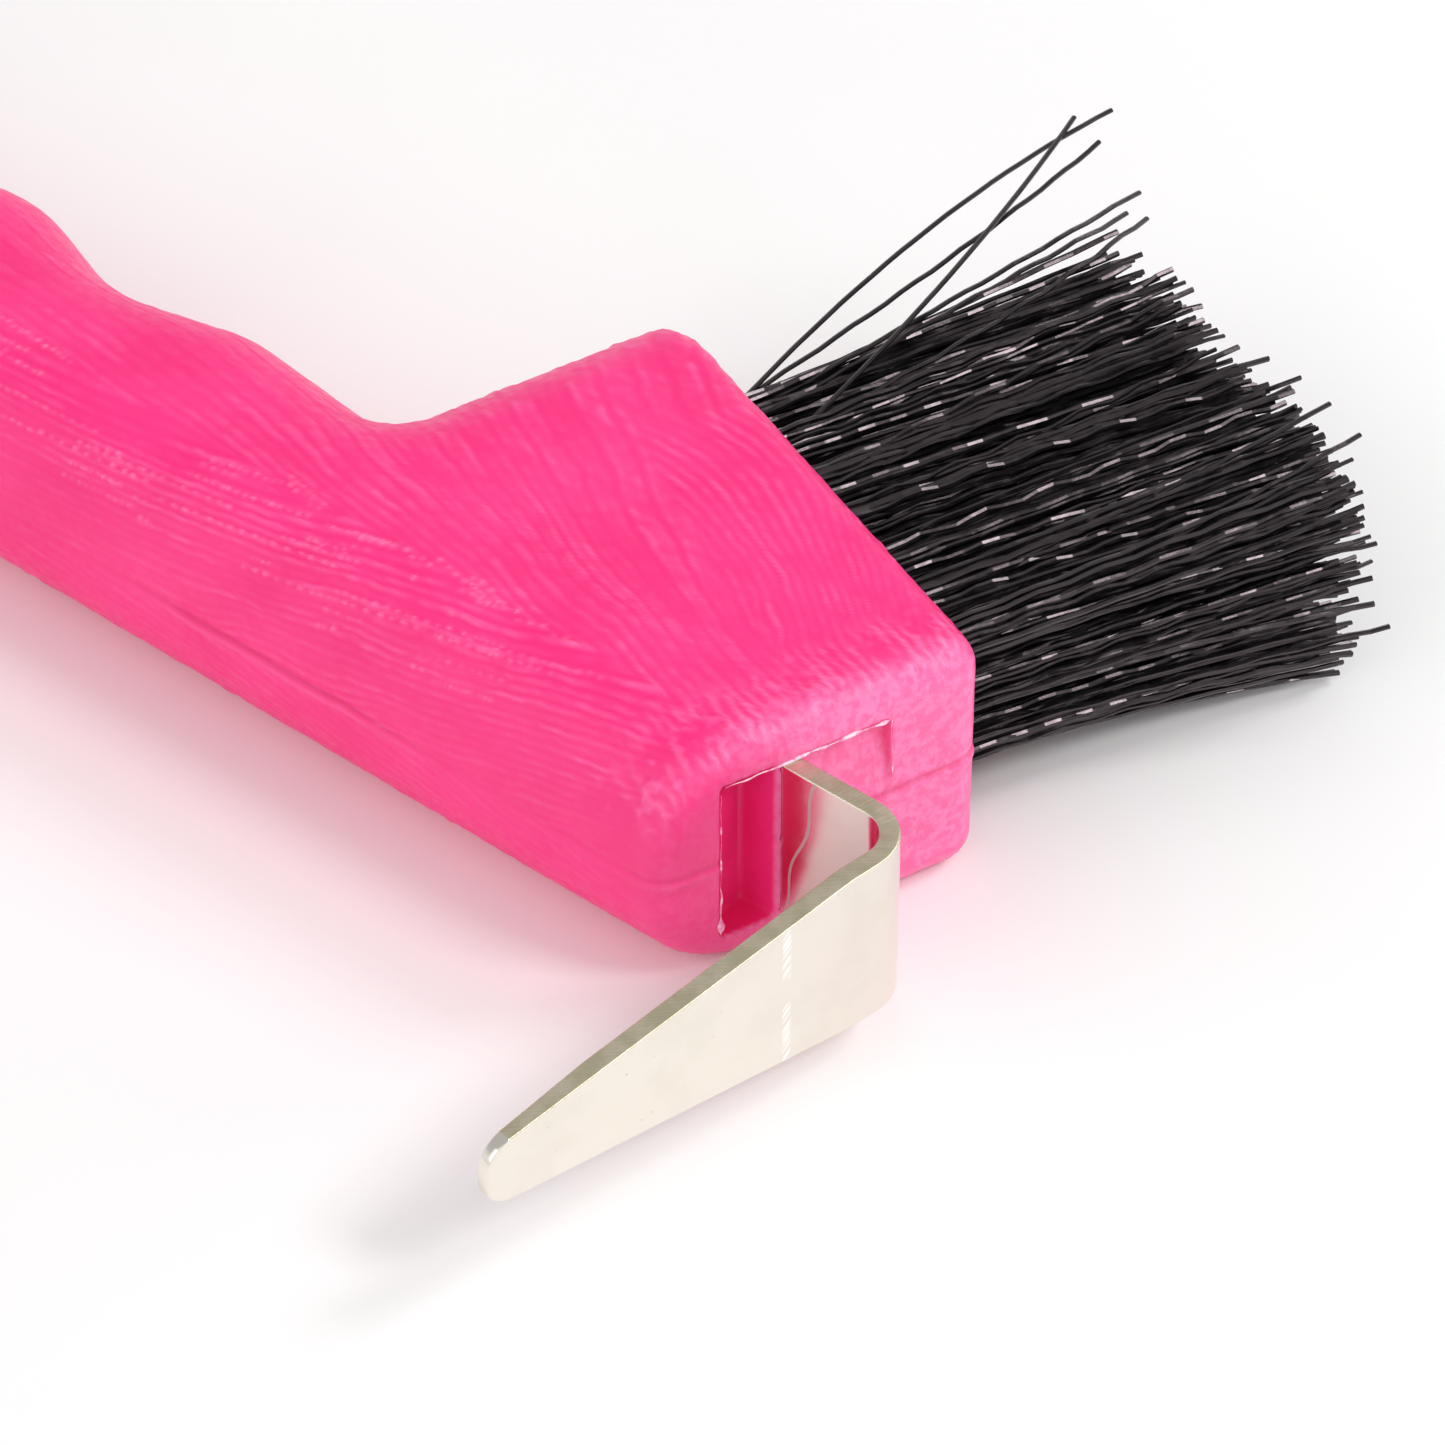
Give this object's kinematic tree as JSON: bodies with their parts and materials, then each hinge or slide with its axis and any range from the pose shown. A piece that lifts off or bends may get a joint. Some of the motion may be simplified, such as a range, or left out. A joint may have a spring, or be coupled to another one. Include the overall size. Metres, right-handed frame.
{
  "type": "hoof pick",
  "caption": "Hoof pick with a moulded plastic finger grip, a bent and tapered steel pick held in the end of the head, and a stapled stiff brush on the head's side.",
  "frame": {"origin": "axis of the hanging hole in the grip's end, on the parting plane half way through the body", "axes": "+X along the grip towards the pick, +Y towards the brush, +Z out of the upper broad face"},
  "size_m": [0.1618, 0.1048, 0.022],
  "materials": {
    "body_plastic": "satin moulded, fine wood-grain relief",
    "nickel_plate": "bright nickel plate over steel strip",
    "filament": "black crimped filament",
    "staple_wire": "plain flat wire"
  },
  "bodies": {
    "root": {"handle_body": "body_plastic", "steel_pick": "nickel_plate", "tuft_1_1": "filament", "tuft_1_2": "filament", "tuft_1_3": "filament", "tuft_1_4": "filament", "tuft_1_5": "filament", "tuft_1_6": "filament", "tuft_1_7": "filament", "tuft_2_1": "filament", "tuft_2_2": "filament", "tuft_2_3": "filament", "tuft_2_4": "filament", "tuft_2_5": "filament", "tuft_2_6": "filament", "tuft_2_7": "filament", "tuft_3_1": "filament", "tuft_3_2": "filament", "tuft_3_3": "filament", "tuft_3_4": "filament", "tuft_3_5": "filament", "tuft_3_6": "filament", "tuft_3_7": "filament", "staple_1_1": "staple_wire", "staple_1_2": "staple_wire", "staple_1_3": "staple_wire", "staple_1_4": "staple_wire", "staple_1_5": "staple_wire", "staple_1_6": "staple_wire", "staple_1_7": "staple_wire", "staple_2_1": "staple_wire", "staple_2_2": "staple_wire", "staple_2_3": "staple_wire", "staple_2_4": "staple_wire", "staple_2_5": "staple_wire", "staple_2_6": "staple_wire", "staple_2_7": "staple_wire", "staple_3_1": "staple_wire", "staple_3_2": "staple_wire", "staple_3_3": "staple_wire", "staple_3_4": "staple_wire", "staple_3_5": "staple_wire", "staple_3_6": "staple_wire", "staple_3_7": "staple_wire"}
  },
  "joints": []
}
